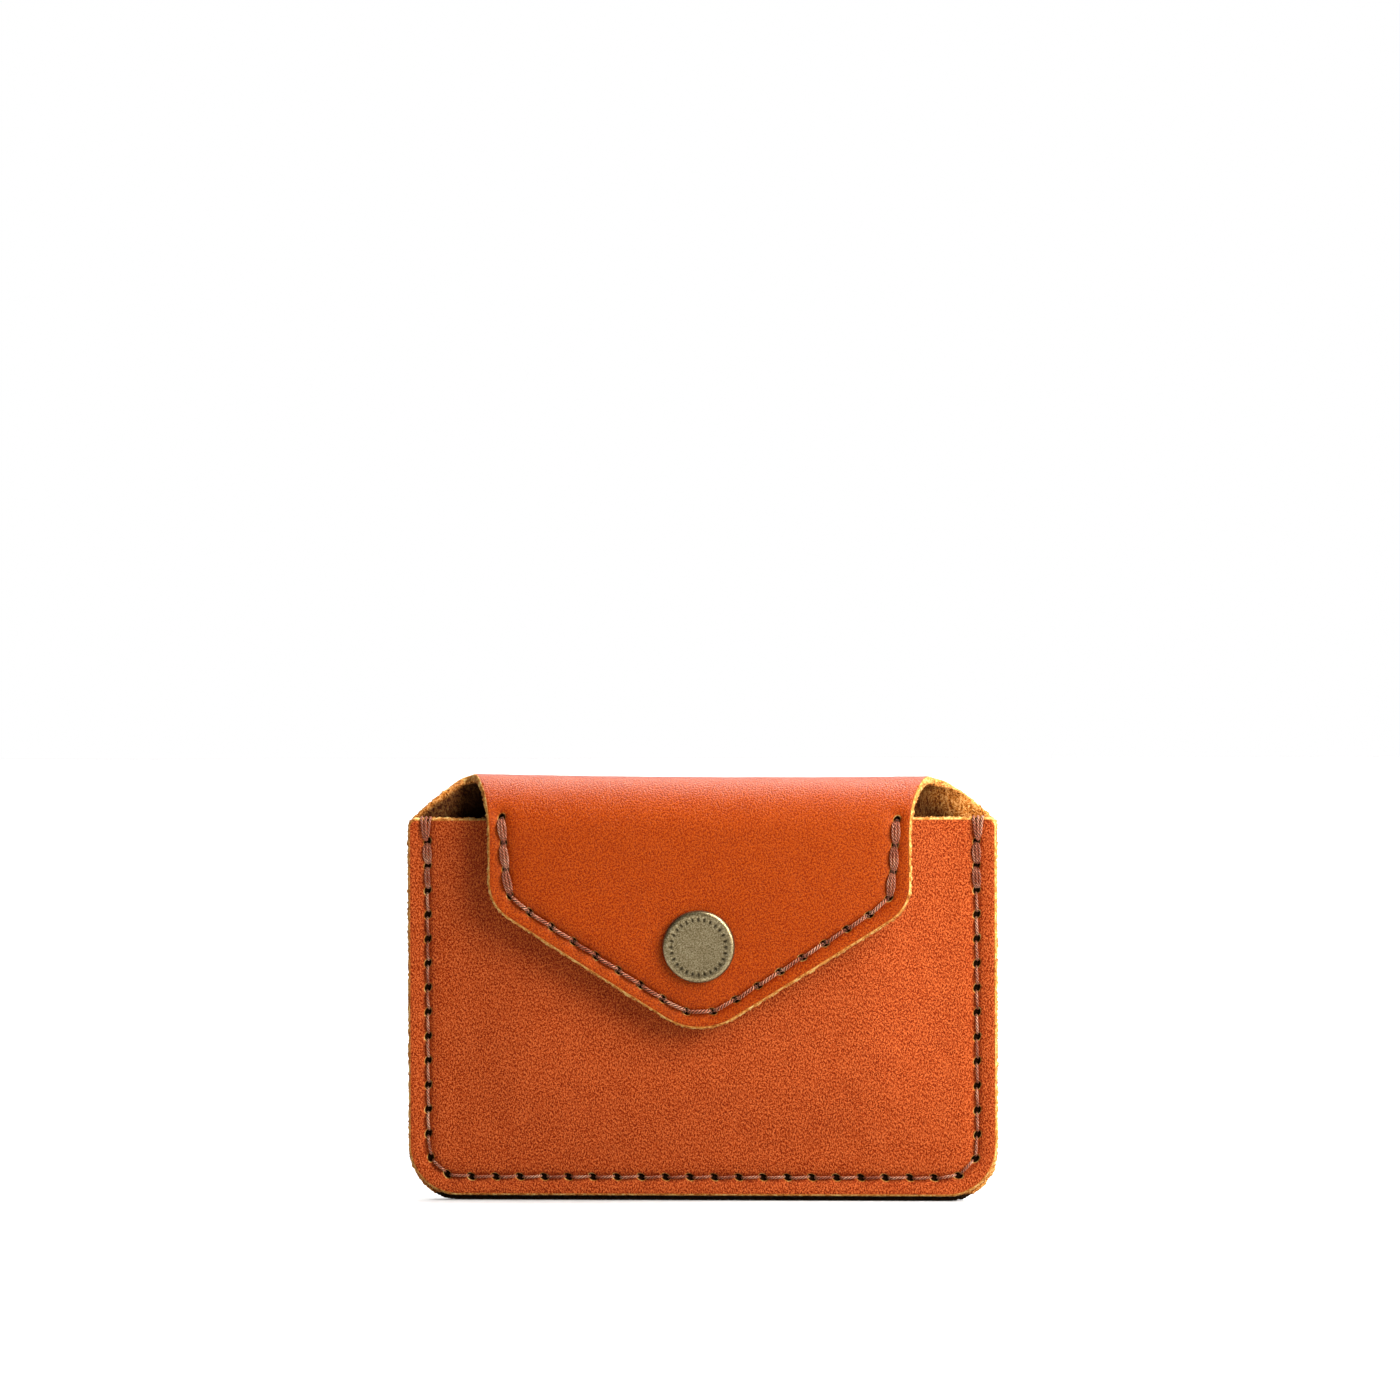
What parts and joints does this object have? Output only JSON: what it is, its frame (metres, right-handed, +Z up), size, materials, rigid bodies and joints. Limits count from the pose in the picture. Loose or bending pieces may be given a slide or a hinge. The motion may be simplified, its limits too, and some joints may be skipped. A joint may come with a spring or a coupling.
{
  "type": "leather card holder with snap flap",
  "caption": "Slim leather pocket for cards, sewn round three sides, with a pointed fold-over flap held by a snap.",
  "frame": {"origin": "under the middle of the whole object, on the surface that it stands on", "axes": "+X along the mouth, to the right when the flap faces the viewer; +Y to the rear; +Z up, from the closed bottom edge to the fold"},
  "size_m": [0.102, 0.0148, 0.0738],
  "materials": {
    "leather": "smooth waxed tan leather with a fine grain, raw lighter cut edges and a fibrous suede inside",
    "thread": "waxed three-ply brown thread",
    "snap_metal": "antiqued brass, darkened in the recesses"
  },
  "bodies": {
    "pouch": {"back_panel": "leather", "front_panel": "leather", "seam_needle_thread": "thread", "seam_bobbin_thread": "thread", "snap_stud": "snap_metal", "snap_post": "snap_metal"},
    "fold_rear_strip": {"fold_rear": "leather"},
    "fold_front_strip": {"fold_front": "leather"},
    "flap": {"flap_panel": "leather", "flap_needle_thread": "thread", "flap_bobbin_thread": "thread", "snap_cap": "snap_metal", "snap_socket": "snap_metal", "snap_spring": "snap_metal"}
  },
  "joints": [
    {"name": "flap_open", "type": "hinge", "parent": "pouch", "child": "fold_rear_strip", "pos_m": [0, 0.00698, 0.07251], "axis": [-1, 0, 0], "range_deg": [0, 80]},
    {"name": "fold_crown", "type": "hinge", "parent": "fold_rear_strip", "child": "fold_front_strip", "pos_m": [0, 0.00078, 0.07371], "axis": [-1, 0, 0], "range_deg": [0, 40]},
    {"name": "fold_shoulder", "type": "hinge", "parent": "fold_front_strip", "child": "flap", "pos_m": [0, -0.00558, 0.06968], "axis": [-1, 0, 0], "range_deg": [0, 60]}
  ],
  "couplings": [
    {"joint": "fold_crown", "follows": "flap_open", "ratio": 0.5},
    {"joint": "fold_shoulder", "follows": "flap_open", "ratio": 0.75}
  ]
}
